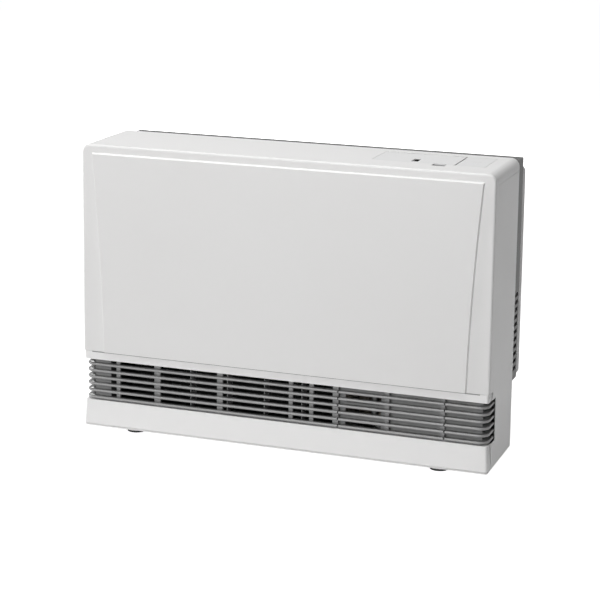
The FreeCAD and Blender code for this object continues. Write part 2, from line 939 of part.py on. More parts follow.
def fan_shaft():
    start = scroll_left_x() - scroll_plate - bearing_length / 2
    end = scroll_right_x() + scroll_plate + shaft_end
    return rod(shaft_radius, vec(start, fan_y, fan_z), AXIS_X, end - start)


def fan_scroll():
    left = scroll_left_x()
    right = scroll_right_x()
    inner = fan_radius + scroll_gap
    outer = inner + scroll_plate
    low = fan_z - inner - scroll_tail
    hood = pipe(outer, inner, vec(left, fan_y, fan_z), AXIS_X, right - left)
    hood = hood.cut(block(left, right, fan_y + scroll_gap, fan_y + outer, fan_z - outer, fan_z + outer))
    hood = hood.cut(block(left, right, fan_y - outer, fan_y + outer, fan_z - outer, fan_z))
    tail = block(left, right, fan_y - outer, fan_y - inner, low, fan_z)
    plates = [block(x, x + scroll_plate, fan_y - outer, back_inner, low, fan_z + outer)
              for x in (left - scroll_plate, right)]
    scroll = joined([hood, tail] + plates)
    scroll = scroll.cut(rod(bearing_radius, vec(left - overrun, fan_y, fan_z), AXIS_X, overrun))
    return scroll.cut(rod(hub_radius, vec(right - fit, fan_y, fan_z), AXIS_X, scroll_plate + overrun))


def fan_bearing():
    start = vec(scroll_left_x() - scroll_plate - bearing_length / 2, fan_y, fan_z)
    return pipe(bearing_radius, shaft_radius + running, start, AXIS_X, bearing_length)


def fan_motor():
    start = scroll_right_x() + scroll_plate
    body = rod(motor_radius, vec(start, fan_y, fan_z), AXIS_X, motor_length)
    body = body.makeFillet(shaft_radius,
                           [edge for edge in body.Edges if edge.CenterOfMass.x > start + motor_length / 2
                                          and edge.Curve.TypeId == "Part::GeomCircle"])
    return body.cut(rod(shaft_radius + running, vec(start - overrun, fan_y, fan_z), AXIS_X,
                        overrun + shaft_end + fit))


# Burner, chamber and heat exchanger


def manifold_z():
    return burner_bottom_z + burner_wall + burner_bar_height / 2


def burner_bar_places():
    pitch = (chamber_right_x - chamber_left_x) / bar_count
    return [chamber_left_x + pitch * (index + middle_share) for index in range(bar_count)]


def electrode_places():
    return burner_bar_places()[:2]


def electrode_z():
    return chamber_bottom_z + flange + electrode_body


def chamber_form(inset, grow, x0, x1):
    top = chamber_top_z - inset + grow
    return rounded(x0, x1, chamber_front_y + inset - grow, chamber_back_y - inset + grow, chamber_bottom_z,
                   top,
                   chamber_radius, AXIS_X, lambda point: point.z > chamber_bottom_z + running)


def combustion_chamber():
    shell = [chamber_form(0, 0, chamber_left_x, chamber_right_x)]
    pitch = (chamber_right_x - chamber_left_x) / (chamber_rib_count + 1)
    for index in range(chamber_rib_count):
        x = chamber_left_x + pitch * (index + 1)
        shell.append(chamber_form(0, chamber_rib, x - chamber_rib, x + chamber_rib))
    room = chamber_form(burner_wall, 0, chamber_left_x + burner_wall, chamber_right_x - burner_wall)
    chamber = joined(shell).cut(room)
    outlet = block(chamber_left_x - overrun, chamber_left_x + overrun, chamber_front_y + header_width / 2,
                   chamber_back_y - header_width / 2, chamber_bottom_z + flange, chamber_top_z - flange)
    chamber = chamber.cut(outlet)
    for x in electrode_places():
        chamber = chamber.cut(rod(electrode_body, vec(x, chamber_front_y - overrun, electrode_z()), AXIS_Y,
                                  2 * overrun))
    return chamber


def burner_box():
    box = block(chamber_left_x, chamber_right_x, chamber_front_y, chamber_back_y, burner_bottom_z,
                chamber_bottom_z)
    box = box.cut(block(chamber_left_x + burner_wall, chamber_right_x - burner_wall,
                        chamber_front_y + burner_wall,
                        chamber_back_y - burner_wall, burner_bottom_z + burner_wall,
                        chamber_bottom_z + overrun))
    y0, y1, z0, z1 = blower_duct_box(-blower_wall)
    box = box.cut(block(chamber_right_x - overrun, chamber_right_x + overrun, y0, y1, z0, z1))
    for x in burner_bar_places():
        start = vec(x, chamber_front_y - overrun, manifold_z())
        box = box.cut(rod(nozzle_radius + running, start, AXIS_Y, overrun + burner_wall))
    return box


def burner_bars():
    bars = []
    base = burner_bottom_z + burner_wall
    for x in burner_bar_places():
        bar = rounded(x - burner_bar_width / 2, x + burner_bar_width / 2,
                      chamber_front_y + burner_wall + nozzle_radius,
                      chamber_back_y - burner_wall, base, base + burner_bar_height, burner_bar_radius, AXIS_Y,
                      lambda point: point.z > base + running)
        bars.append(bar)
    return Part.makeCompound(bars)


def gas_manifold():
    start = vec(chamber_left_x, manifold_y, manifold_z())
    pieces = [rod(manifold_radius, start, AXIS_X, valve_left_x - chamber_left_x)]
    reach = chamber_front_y + burner_wall - manifold_y
    pieces += [rod(nozzle_radius, vec(x, manifold_y, manifold_z()), AXIS_Y, reach)
               for x in burner_bar_places()]
    return joined(pieces)


def electrodes():
    pieces = []
    for x in electrode_places():
        start = vec(x, chamber_front_y - electrode_body_length / 2, electrode_z())
        body = rod(electrode_body, start, AXIS_Y, electrode_body_length)
        pieces.append(body.fuse(rod(electrode_radius, start, AXIS_Y,
                                    2 * electrode_body_length)).removeSplitter())
    return Part.makeCompound(pieces)


def exchanger_tube_places():
    pitch_y = (chamber_back_y - chamber_front_y) / exchanger_columns
    pitch_z = (exchanger_top_z - exchanger_bottom_z) / exchanger_rows
    return [(chamber_front_y + pitch_y * (column + middle_share),
             exchanger_bottom_z + pitch_z * (row + middle_share))
            for column in range(exchanger_columns) for row in range(exchanger_rows)]


# Header at the left end that turns the burnt gas down into the tubes
def flue_header():
    left = chamber_left_x - header_width
    outer = block(left, chamber_left_x, chamber_front_y, chamber_back_y, exchanger_bottom_z, chamber_top_z)
    header = outer.cut(block(left + burner_wall, chamber_left_x - burner_wall, chamber_front_y + burner_wall,
                             chamber_back_y - burner_wall, exchanger_bottom_z + burner_wall,
                             chamber_top_z - burner_wall))
    header = header.cut(block(chamber_left_x - header_width / 2, chamber_left_x + overrun,
                              chamber_front_y + header_width / 2, chamber_back_y - header_width / 2,
                              chamber_bottom_z + flange, chamber_top_z - flange))
    for y, z in exchanger_tube_places():
        header = header.cut(rod(exchanger_tube_radius - burner_wall, vec(chamber_left_x - overrun, y, z),
                                AXIS_X, overrun))
    return header


def exhaust_start_x():
    return chamber_right_x + header_width - flange


def heat_exchanger():
    length = chamber_right_x - chamber_left_x
    pieces = []
    for index in range(fin_count):
        x = chamber_left_x + length * (index + 1) / (fin_count + 1)
        pieces.append(block(x, x + fin_thick, chamber_front_y, chamber_back_y, exchanger_bottom_z,
                            exchanger_top_z))
    pieces += [rod(exchanger_tube_radius, vec(chamber_left_x, y, z), AXIS_X, length)
               for y, z in exchanger_tube_places()]
    end = exhaust_start_x()
    pieces.append(block(chamber_right_x, end, chamber_front_y, chamber_back_y, exchanger_bottom_z,
                        exchanger_top_z))
    core = joined(pieces)
    core = core.cut(block(chamber_right_x + burner_wall, end - burner_wall, chamber_front_y + burner_wall,
                          chamber_back_y - burner_wall, exchanger_bottom_z + burner_wall,
                          exchanger_top_z - burner_wall))
    for y, z in exchanger_tube_places():
        core = core.cut(rod(exchanger_tube_radius - burner_wall, vec(chamber_left_x, y, z), AXIS_X,
                            length + overrun))
    return core.cut(rod(exhaust_radius - exhaust_wall, vec(end - overrun, exhaust_y, exhaust_z), AXIS_X,
                        2 * overrun))


def exhaust_pipe():
    points = [
        vec(exhaust_start_x(), exhaust_y, exhaust_z),
        vec(flue_x, exhaust_y, exhaust_z),
        vec(flue_x, exhaust_y, flue_z),
        vec(flue_x, back_y + flue_length, flue_z),
    ]
    return bent_tube(points, exhaust_bend, exhaust_radius, exhaust_wall)


def overheat_switch():
    x = (chamber_right_x + exhaust_start_x()) / 2
    base = rod(switch_radius, vec(x, chamber_front_y + header_width, exchanger_top_z), AXIS_Z, switch_height)
    cap = rod(electrode_body, vec(x, chamber_front_y + header_width, exchanger_top_z), AXIS_Z,
              2 * switch_height)
    return base.fuse(cap).removeSplitter()


# Combustion blower


def blower_duct_box(grow):
    middle = blower_y + blower_width / 2
    low = blower_z - blower_radius
    return (middle - blower_duct_width / 2 - grow, middle + blower_duct_width / 2 + grow,
            low - grow, low + blower_duct_height + grow)


def blower_form(inset):
    start = vec(blower_x, blower_y + inset, blower_z)
    drum = rod(blower_radius - inset, start, AXIS_Y, blower_width - 2 * inset)
    y0, y1, z0, z1 = blower_duct_box(-inset)
    mouth = chamber_right_x - overrun if inset else chamber_right_x
    return drum.fuse(block(mouth, blower_x, y0, y1, z0, z1))


def blower_housing():
    housing = blower_form(0).cut(blower_form(blower_wall))
    centre = vec(blower_x, blower_y - overrun, blower_z)
    housing = housing.cut(rod(blower_shaft_radius + seam, centre, AXIS_Y, 2 * overrun))
    inlet = vec(blower_x, blower_y + blower_width - overrun, blower_z)
    return housing.cut(rod(hose_radius - hose_wall, inlet, AXIS_Y, 2 * overrun)).removeSplitter()


def blower_impeller():
    start = vec(blower_x, blower_y + blower_width / 2 - impeller_width / 2, blower_z)
    pieces = [rod(impeller_radius, start, AXIS_Y, impeller_plate)]
    shaft_start = vec(blower_x, blower_y - shaft_end, blower_z)
    pieces.append(rod(blower_shaft_radius, shaft_start, AXIS_Y, shaft_end + blower_width / 2))
    for index in range(impeller_blades):
        vane = block(impeller_radius - impeller_blade_depth, impeller_radius, 0, impeller_width, 0,
                     impeller_plate)
        vane.rotate(vec(0, 0, 0), AXIS_Y, full_turn / impeller_blades * index)
        vane.translate(start)
        pieces.append(vane)
    wheel = joined(pieces)
    return wheel.common(rod(impeller_radius, shaft_start, AXIS_Y, blower_width + shaft_end)).removeSplitter()


def blower_motor():
    start = vec(blower_x, blower_y - blower_motor_length, blower_z)
    body = rod(blower_motor_radius, start, AXIS_Y, blower_motor_length)
    body = body.makeFillet(blower_shaft_radius, [edge for edge in body.Edges
                                                 if edge.Curve.TypeId == "Part::GeomCircle"
                                                 and edge.CenterOfMass.y < blower_y - overrun])
    bore_start = vec(blower_x, blower_y - shaft_end - fit, blower_z)
    return body.cut(rod(blower_shaft_radius + running, bore_start, AXIS_Y, shaft_end + overrun))


def intake_hose():
    start = blower_y + blower_width
    turn = start + hose_lead + hose_bend
    points = [vec(blower_x, start, blower_z), vec(blower_x, turn, blower_z),
              vec(blower_x, turn, flue_z + flue_box_half_height)]
    return bent_tube(points, hose_bend, hose_radius, hose_wall)


def flue_spigot():
    front = back_inner - flue_box_depth
    left = flue_x - flue_box_half
    right = flue_x + flue_box_half
    low = flue_z - flue_box_half_height
    high = flue_z + flue_box_half_height
    box = block(left, right, front, back_inner, low, high)
    tube = rod(flue_outer_radius, vec(flue_x, back_inner, flue_z), AXIS_Y, sheet + flue_length)
    shoulder = rod(flue_shoulder_radius, vec(flue_x, back_inner, flue_z), AXIS_Y, sheet + flue_shoulder)
    spigot = joined([box, tube, shoulder])
    spigot = spigot.cut(block(left + flue_wall, right - flue_wall, front + flue_wall, back_inner - flue_wall,
                              low + flue_wall, high - flue_wall))
    spigot = spigot.cut(rod(flue_outer_radius - flue_wall, vec(flue_x, front + overrun, flue_z), AXIS_Y,
                            flue_box_depth + flue_length))
    spigot = spigot.cut(rod(exhaust_radius + running, vec(flue_x, front - overrun, flue_z), AXIS_Y,
                            2 * overrun))
    turn = blower_y + blower_width + hose_lead + hose_bend
    return spigot.cut(rod(hose_radius - hose_wall, vec(blower_x, turn, high - overrun), AXIS_Z, 2 * overrun))


# Gas and electrics


def gas_port_y():
    return manifold_y + gas_pipe_radius + gas_port_gap


def gas_valve():
    low = manifold_z() - valve_height + valve_drop
    front = manifold_y - valve_depth * valve_front_share
    body = rounded(valve_left_x, valve_left_x + valve_width, front, front + valve_depth, low,
                   low + valve_height,
                   burner_bar_radius, AXIS_Z)
    right = valve_left_x + valve_width
    coils = [rod(solenoid_radius, vec(right, front + valve_depth / 2, low + valve_height * share), AXIS_X,
                 solenoid_length)
             for share in solenoid_place_shares]
    return joined([body] + coils)


def gas_pipe():
    x = valve_left_x + valve_width / 2
    low = manifold_z() - valve_height + valve_drop
    points = [vec(x, gas_port_y(), low), vec(x, gas_port_y(), gas_inlet_z),
              vec(gas_inlet_x, gas_port_y(), gas_inlet_z),
              vec(gas_inlet_x, back_inner - union_hex_length, gas_inlet_z)]
    return bent_tube(points, gas_pipe_bend, gas_pipe_radius, gas_pipe_wall)


def hexagon(x, y, z, reach, length):
    turns = [math.radians(full_turn / hexagon_sides * index) for index in range(hexagon_sides)]
    points = [vec(x + reach * math.cos(turn), y, z + reach * math.sin(turn)) for turn in turns]
    return prism(points, AXIS_Y * length)


def gas_inlet_union():
    hexed = hexagon(gas_inlet_x, back_inner - union_hex_length, gas_inlet_z, union_hex, union_hex_length)
    stub = rod(union_radius, vec(gas_inlet_x, back_inner, gas_inlet_z), AXIS_Y, sheet + union_length)
    bore = rod(gas_pipe_radius - gas_pipe_wall, vec(gas_inlet_x, back_inner - case_depth / 2, gas_inlet_z),
               AXIS_Y,
               case_depth)
    shoulder = rod(union_shoulder_radius, vec(gas_inlet_x, back_inner, gas_inlet_z), AXIS_Y,
                   sheet + union_shoulder)
    return joined([hexed, stub, shoulder]).cut(bore)


def board_tray():
    left = board_left_x - tray_margin
    right = board_right_x + tray_margin
    plate = block(left, right, back_inner - sheet, back_inner, board_bottom_z - tray_margin,
                  board_top_z + tray_margin)
    posts = [rod(standoff_radius, vec(x, back_inner - sheet - standoff_length, z), AXIS_Y, standoff_length)
             for x in (board_left_x + tray_margin, board_right_x - tray_margin)
             for z in (board_bottom_z + tray_margin, board_top_z - tray_margin)]
    return joined([plate] + posts)


def main_board():
    face = back_inner - sheet - standoff_length - board_thick
    board = block(board_left_x, board_right_x, face, face + board_thick, board_bottom_z, board_top_z)
    wide = board_right_x - board_left_x
    tall = board_top_z - board_bottom_z
    parts = [board]
    for x_share, z_share, wide_share, tall_share, lift_share in board_part_shares:
        x = board_left_x + x_share * wide
        z = board_bottom_z + z_share * tall
        parts.append(block(x, x + wide_share * wide, face - lift_share * component_height, face,
                           z, z + tall_share * tall))
    return joined(parts)


def power_inlet_gland():
    body = rod(gland_radius, vec(gland_x, back_inner - gland_head_length, gland_z), AXIS_Y,
               sheet + 2 * gland_head_length)
    head = rod(gland_head, vec(gland_x, back_y, gland_z), AXIS_Y, gland_head_length)
    bore = rod(gland_radius / 2, vec(gland_x, back_inner - overrun, gland_z), AXIS_Y, case_depth)
    return joined([body, head]).cut(bore)


# Rear air housing


def rear_half():
    return half - rear_inset


def rear_low():
    return base_z + rear_bottom


def plenum_top():
    return top_z - rear_top_drop


def cover_y():
    return rear_y - cover_depth


def filter_span():
    top = plenum_top() - rear_wall - filter_top_gap
    return top - filter_height, top


# Number of side slots that fit under the filter slot
def side_slot_count():
    space = filter_span()[0] - rear_low() - side_slot_start
    return int(side_slot_space_share * space / side_slot_pitch)


def filter_face():
    return back_y + filter_back_gap


def screw_places():
    tall = cover_top() - rear_low()
    return [(side * (rear_half() - screw_inset), rear_low() + share * tall)
            for side in (-1, 1) for share in screw_place_shares]


def cover_top():
    return top_z - cover_top_drop


def rear_plenum():
    x = rear_half()
    low = rear_low()
    high = plenum_top()
    shell = block(-x, x, back_y, cover_y(), low, high)
    shell = shell.cut(block(rear_wall - x, x - rear_wall, back_y - overrun, cover_y() + overrun,
                            low + rear_wall, high - rear_wall))
    bottom, top = filter_span()
    face = filter_face()
    rails = [block(-x, x, face, face + filter_thick, z, z + rear_wall)
             for z in (bottom - fit - rear_wall, top + fit)]
    post = block(-rear_wall, rear_wall, face, face + filter_thick, bottom - fit - rear_wall, top + fit)
    bosses = [rod(screw_inset - seam, vec(side_x, cover_y() - screw_shank_length, z), AXIS_Y,
                  screw_shank_length)
              for side_x, z in screw_places()]
    lintel = block(-x, x, cover_y() - rear_wall, cover_y(), cover_top() - rear_radius, high)
    plenum = joined([shell, post, lintel] + rails + bosses)
    for side in (-1, 1):
        wall = sorted((side * (x - 2 * rear_wall), side * (x + overrun)))
        plenum = plenum.cut(block(wall[0], wall[1], face - fit, face + filter_thick + fit, bottom - fit,
                                  top + fit))
        for index in range(side_slot_count()):
            z = low + side_slot_start + index * side_slot_pitch
            plenum = plenum.cut(block(wall[0], wall[1], back_y + side_slot_inset,
                                      back_y + side_slot_inset + side_slot_depth, z, z + side_slot_height))
    for side_x, z in screw_places():
        plenum = plenum.cut(rod(screw_shank, vec(side_x, cover_y() - screw_shank_length, z), AXIS_Y,
                                screw_shank_length + overrun))
    return plenum


# Air inlet slots of the rear cover, in rows behind the filters
def inlet_slots():
    reach = rear_half() - inlet_side_margin
    bay = 2 * reach / inlet_columns
    slots = []
    for column in range(inlet_columns):
        left = column * bay - reach + inlet_web / 2
        for row in range(inlet_rows):
            z = filter_span()[0] + inlet_rise + row * inlet_row_pitch
            slots.append(block(left, left + bay - inlet_web, rear_y - cover_depth / 2, rear_y + overrun, z,
                               z + inlet_slot_height))
    return slots


def rear_cover():
    x = rear_half()
    low = rear_low()
    high = cover_top()
    outer = block(-x, x, cover_y(), rear_y, low, high)
    outer = outer.makeFillet(rear_radius, edges_along(outer, AXIS_Y))
    rim = [edge for edge in outer.Edges if abs(edge.CenterOfMass.y - rear_y) < running]
    outer = outer.makeFillet(rear_rim_radius, rim)
    inner = block(rear_wall - x, x - rear_wall, cover_y() - overrun, rear_y - rear_wall, low + rear_wall,
                  high - rear_wall)
    inner = inner.makeFillet(rear_radius - rear_wall, edges_along(inner, AXIS_Y))
    bosses = [rod(screw_inset - seam, vec(side_x, cover_y(), z), AXIS_Y, cover_depth - rear_wall)
              for side_x, z in screw_places()]
    cover = joined([outer.cut(inner)] + bosses)
    for side_x, z in screw_places():
        cover = cover.cut(rod(screw_shank, vec(side_x, cover_y() - overrun, z), AXIS_Y,
                              cover_depth + 2 * overrun))
        cover = cover.cut(rod(screw_radius, vec(side_x, rear_y - screw_head, z), AXIS_Y, overrun))
    return cover.cut(Part.makeCompound(inlet_slots()))


def cover_screws():
    screws = []
    for x, z in screw_places():
        head = rod(screw_radius, vec(x, rear_y - screw_head, z), AXIS_Y, screw_head)
        shank = rod(screw_shank, vec(x, cover_y() - screw_shank_length, z), AXIS_Y,
                    screw_shank_length + cover_depth)
        screws.append(head.fuse(shank.cut(head)).removeSplitter())
    return Part.makeCompound(screws)


# Air filter for one side: a frame with cross bars and a grip plate on its outer end
def air_filter(side):
    bottom, top = filter_span()
    face = filter_face()
    inner = rear_wall + fit
    outer = rear_half()
    frame = block(inner, outer, face, face + filter_thick, bottom, top)
    bay = (outer - filter_grip - inner - filter_frame) / filter_bars
    for index in range(filter_bars):
        left = inner + filter_frame + index * bay
        frame = frame.cut(block(left, left + bay - filter_bar_width, face - overrun,
                                face + filter_thick + overrun,
                                bottom + filter_frame, top - filter_frame))
    mesh = block(inner + filter_bar_width, outer - filter_grip, face + filter_thick / 2,
                 face + filter_thick / 2 + sheet, bottom + filter_bar_width, top - filter_bar_width)
    near = back_y + grip_plate_gap
    far = near + grip_plate_depth
    low = bottom - grip_plate_drop
    corners = [vec(outer, near, low), vec(outer, far, low + grip_plate_slant), vec(outer, far, top),
               vec(outer, near, top)]
    plate = prism(corners, AXIS_X * grip_plate_thick)
    panel = joined([frame, mesh, plate])
    return panel if side > 0 else panel.mirror(vec(0, 0, 0), AXIS_X)


# Feet


def foot_pads():
    pads = [Part.makeCone(pad_radius, pad_top_radius, pad_height, vec(x, y, 0), AXIS_Z)
            for x, y in foot_places()]
    return Part.makeCompound(pads)


def foot_adjuster(index):
    x, y = foot_places()[index]
    base = pad_height + fit
    points = []
    for step in range(2 * adjuster_teeth):
        angle = math.pi * step / adjuster_teeth
        reach = adjuster_radius - adjuster_tooth * (step % 2)
        points.append(vec(x + reach * math.cos(angle), y + reach * math.sin(angle), base))
    wheel = prism(points, AXIS_Z * adjuster_height)
    return wheel.fuse(rod(stem_radius, vec(x, y, base), AXIS_Z, stem_length)).removeSplitter()


def main():
    os.makedirs("parts", exist_ok=True)
    right_panel = right_side_panel()
    pieces = {
        "right_side_panel": right_panel,
        "left_side_panel": right_panel.mirror(vec(0, 0, 0), AXIS_X),
        "right_air_filter": air_filter(1),
        "left_air_filter": air_filter(-1),
    }
    makers = (
        base_pan, back_panel, front_panel, top_cover, louvre_rail, louvre_main, louvre_right, louvre_corner,
        outlet_duct, outlet_vanes, louvre_backing_left, louvre_backing_right, compartment_wall,
        control_tray, control_lid, lid_window, lid_hinge_pins, on_off_button, operation_board,
        fan_rotor, fan_shaft, fan_scroll, fan_bearing, fan_motor,
        combustion_chamber, burner_box, burner_bars, gas_manifold, electrodes, flue_header, heat_exchanger,
        exhaust_pipe, overheat_switch, blower_housing, blower_impeller, blower_motor, intake_hose,
        flue_spigot,
        gas_valve, gas_pipe, gas_inlet_union, board_tray, main_board, power_inlet_gland,
        rear_plenum, rear_cover, cover_screws, foot_pads,
    )
    for maker in makers:
        pieces[maker.__name__] = maker()
    for index, name in enumerate(("temperature_up_key", "temperature_down_key", "timer_key", "economy_key")):
        pieces[name] = key(index)
    for index, name in enumerate(("front_left", "front_right", "rear_left", "rear_right")):
        pieces[name + "_adjuster"] = foot_adjuster(index)
    for name, shape in pieces.items():
        save(name, shape)


main()
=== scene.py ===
import math

import bmesh
import bpy
from mathutils import Matrix, Vector


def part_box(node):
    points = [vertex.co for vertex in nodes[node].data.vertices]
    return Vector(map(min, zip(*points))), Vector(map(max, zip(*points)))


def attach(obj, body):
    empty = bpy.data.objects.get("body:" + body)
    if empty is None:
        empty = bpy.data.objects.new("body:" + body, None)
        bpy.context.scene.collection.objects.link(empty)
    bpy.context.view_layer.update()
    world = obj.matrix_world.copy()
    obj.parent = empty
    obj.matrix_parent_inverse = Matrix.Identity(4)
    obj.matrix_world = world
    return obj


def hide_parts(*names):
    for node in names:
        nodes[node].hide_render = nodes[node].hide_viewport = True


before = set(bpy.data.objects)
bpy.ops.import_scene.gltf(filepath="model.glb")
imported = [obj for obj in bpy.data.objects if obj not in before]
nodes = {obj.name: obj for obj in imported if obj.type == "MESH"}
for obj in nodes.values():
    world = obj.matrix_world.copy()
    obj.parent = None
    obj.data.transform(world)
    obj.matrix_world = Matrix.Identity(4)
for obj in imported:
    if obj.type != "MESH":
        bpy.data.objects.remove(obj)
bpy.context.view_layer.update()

# Depth range of the thin net inside the filter frames
NET_FRONT, NET_BACK = 0.0609, 0.0623

# Sockets of the Mix node by number, because each kind of value has sockets of the same names
VECTOR_A, VECTOR_B, VECTOR_OUT = 4, 5, 1
COLOUR_A, COLOUR_B, COLOUR_OUT = 6, 7, 2


# Shader node groups shared by the finishes

def new_group(name, inputs):
    group = bpy.data.node_groups.new(name, "ShaderNodeTree")
    for label, value in inputs:
        group.interface.new_socket(label, in_out="INPUT", socket_type="NodeSocketFloat").default_value = value
    for label in ("Tone", "Gloss", "Height"):
        group.interface.new_socket(label, in_out="OUTPUT", socket_type="NodeSocketFloat")
    source = group.nodes.new("NodeGroupInput")
    sink = group.nodes.new("NodeGroupOutput")
    place = group.nodes.new("ShaderNodeTexCoord").outputs["Object"]
    return group, source, sink, place


def close_group(group, sink, tone, gloss, height):
    for label, value in (("Tone", tone), ("Gloss", gloss), ("Height", height)):
        group.links.new(value, sink.inputs[label])
    return group


def math_node(tree, operation, first, second):
    node = tree.nodes.new("ShaderNodeMath")
    node.operation = operation
    for slot, value in zip(node.inputs, (first, second)):
        if isinstance(value, (int, float)):
            slot.default_value = value
        else:
            tree.links.new(value, slot)
    return node.outputs[0]


# Sum of two values, each times its share
def blend(tree, first, first_share, second, second_share):
    return math_node(tree, "ADD", math_node(tree, "MULTIPLY", first, first_share),
                     math_node(tree, "MULTIPLY", second, second_share))


def noise(tree, place, scale, detail=2.0, rough=0.5):
    node = tree.nodes.new("ShaderNodeTexNoise")
    node.inputs["Detail"].default_value = detail
    node.inputs["Roughness"].default_value = rough
    tree.links.new(place, node.inputs["Vector"])
    if isinstance(scale, (int, float)):
        node.inputs["Scale"].default_value = scale
    else:
        tree.links.new(scale, node.inputs["Scale"])
    return node.outputs["Fac"]


def cell_pattern(tree, place, scale):
    node = tree.nodes.new("ShaderNodeTexVoronoi")
    tree.links.new(place, node.inputs["Vector"])
    tree.links.new(scale, node.inputs["Scale"])
    return node


def stretched(tree, place, scale):
    node = tree.nodes.new("ShaderNodeMapping")
    node.inputs["Scale"].default_value = scale
    tree.links.new(place, node.inputs["Vector"])
    return node.outputs["Vector"]


# Sprayed powder coat: a fine orange-peel surface and slow drifts of tone
def make_powder_coat():
    group, source, sink, place = new_group("powder_coat", [("Peel", 420.0), ("Drift", 3.0)])
    peel = noise(group, place, source.outputs["Peel"], 1.0)
    fine = noise(group, place, 1900.0, 1.0)
    drift = noise(group, place, source.outputs["Drift"], 3.0)
    gloss = blend(group, drift, 0.6, fine, 0.4)
    return close_group(group, sink, drift, gloss, blend(group, peel, 1.0, fine, 0.25))


# Moulded plastic: spark-eroded grain with faint flow clouds
def make_mould_grain():
    group, source, sink, place = new_group("mould_grain", [("Grain", 1400.0), ("Clouds", 9.0)])
    cells = cell_pattern(group, place, source.outputs["Grain"])
    cells.feature = "SMOOTH_F1"
    pits = cells.outputs["Distance"]
    clouds = noise(group, place, source.outputs["Clouds"], 2.0)
    return close_group(group, sink, clouds, blend(group, clouds, 0.5, pits, 0.5), pits)


# Rolled or brushed metal: long streaks along X and light stains
def make_metal_streaks():
    group, source, sink, place = new_group("metal_streaks", [("Streaks", 160.0), ("Stains", 14.0)])
    lines = noise(group, stretched(group, place, (0.04, 1.0, 1.0)), source.outputs["Streaks"], 3.0)
    stains = noise(group, place, source.outputs["Stains"], 4.0, 0.6)
    tone = blend(group, lines, 0.45, stains, 0.55)
    return close_group(group, sink, tone, blend(group, lines, 0.6, stains, 0.4), lines)


# Hot-dip zinc: crystal spangle in flat cells
def make_zinc_spangle():
    group, source, sink, place = new_group("zinc_spangle", [("Crystals", 110.0), ("Stains", 8.0)])
    warp = noise(group, place, 60.0, 2.0)
    mixed = group.nodes.new("ShaderNodeMix")
    mixed.data_type = "VECTOR"
    mixed.inputs["Factor"].default_value = 0.012
    group.links.new(place, mixed.inputs[VECTOR_A])
    group.links.new(warp, mixed.inputs[VECTOR_B])
    cells = cell_pattern(group, mixed.outputs[VECTOR_OUT], source.outputs["Crystals"])
    split = group.nodes.new("ShaderNodeSeparateColor")
    group.links.new(cells.outputs["Color"], split.inputs["Color"])
    stains = noise(group, place, source.outputs["Stains"], 3.0)
    tone = blend(group, split.outputs["Red"], 0.6, stains, 0.4)
    return close_group(group, sink, tone, split.outputs["Green"], cells.outputs["Distance"])


# Filter: moulded frame, and a woven dark net in the thin sheet at its middle depth
def make_filter_net():
    thread_level, thread_fade, frame_fade = 0.75, 0.22, 0.12
    group, source, sink, place = new_group("filter_net", [("Grain", 1400.0), ("Weave", 2600.0)])
    split = group.nodes.new("ShaderNodeSeparateXYZ")
    group.links.new(place, split.inputs["Vector"])
    depth, weave = split.outputs["Y"], source.outputs["Weave"]
    sheet = math_node(group, "MULTIPLY", math_node(group, "GREATER_THAN", depth, NET_FRONT),
                      math_node(group, "LESS_THAN", depth, NET_BACK))
    across = math_node(group, "SINE", math_node(group, "MULTIPLY", split.outputs["X"], weave), 0.0)
    upward = math_node(group, "SINE", math_node(group, "MULTIPLY", split.outputs["Z"], weave), 0.0)
    threads = math_node(group, "GREATER_THAN", math_node(group, "MAXIMUM", across, upward), thread_level)
    grain = noise(group, place, source.outputs["Grain"], 1.0)
    net_tone = math_node(group, "SUBTRACT", 1.0, math_node(group, "MULTIPLY", threads, thread_fade))
    frame_tone = math_node(group, "MULTIPLY", grain, frame_fade)
    tone = math_node(group, "MAXIMUM", frame_tone, math_node(group, "MULTIPLY", sheet, net_tone))
    return close_group(group, sink, tone, grain, blend(group, grain, 0.3, sheet, threads))


powder_coat = make_powder_coat()
mould_grain = make_mould_grain()
metal_streaks = make_metal_streaks()
zinc_spangle = make_zinc_spangle()
filter_net = make_filter_net()

finishes = {}


# A finish mixes two close colours and two roughness values by its skin group,
# and takes its relief (strength and height) from the same group
def finish(name, skin, light, dark, gloss, relief, metal=0.0, specular=0.5, **skin_values):
    material = bpy.data.materials.new(name)
    material.use_nodes = True
    tree = material.node_tree
    shader = tree.nodes["Principled BSDF"]
    shader.inputs["Metallic"].default_value = metal
    shader.inputs["Specular IOR Level"].default_value = specular
    group = tree.nodes.new("ShaderNodeGroup")
    group.node_tree = skin
    for label, value in skin_values.items():
        group.inputs[label].default_value = value
    colour = tree.nodes.new("ShaderNodeMix")
    colour.data_type = "RGBA"
    colour.inputs[COLOUR_A].default_value = (*light, 1.0)
    colour.inputs[COLOUR_B].default_value = (*dark, 1.0)
    tree.links.new(group.outputs["Tone"], colour.inputs["Factor"])
    tree.links.new(colour.outputs[COLOUR_OUT], shader.inputs["Base Color"])
    shine = tree.nodes.new("ShaderNodeMapRange")
    shine.inputs["To Min"].default_value = gloss[0]
    shine.inputs["To Max"].default_value = gloss[1]
    tree.links.new(group.outputs["Gloss"], shine.inputs["Value"])
    tree.links.new(shine.outputs["Result"], shader.inputs["Roughness"])
    bump = tree.nodes.new("ShaderNodeBump")
    bump.inputs["Strength"].default_value = relief[0]
    bump.inputs["Distance"].default_value = relief[1]
    tree.links.new(group.outputs["Height"], bump.inputs["Height"])
    tree.links.new(bump.outputs["Normal"], shader.inputs["Normal"])
    finishes[name] = material


def grey(value, warm=0.0):
    return (value * (1 + warm), value, value * (1 - warm))


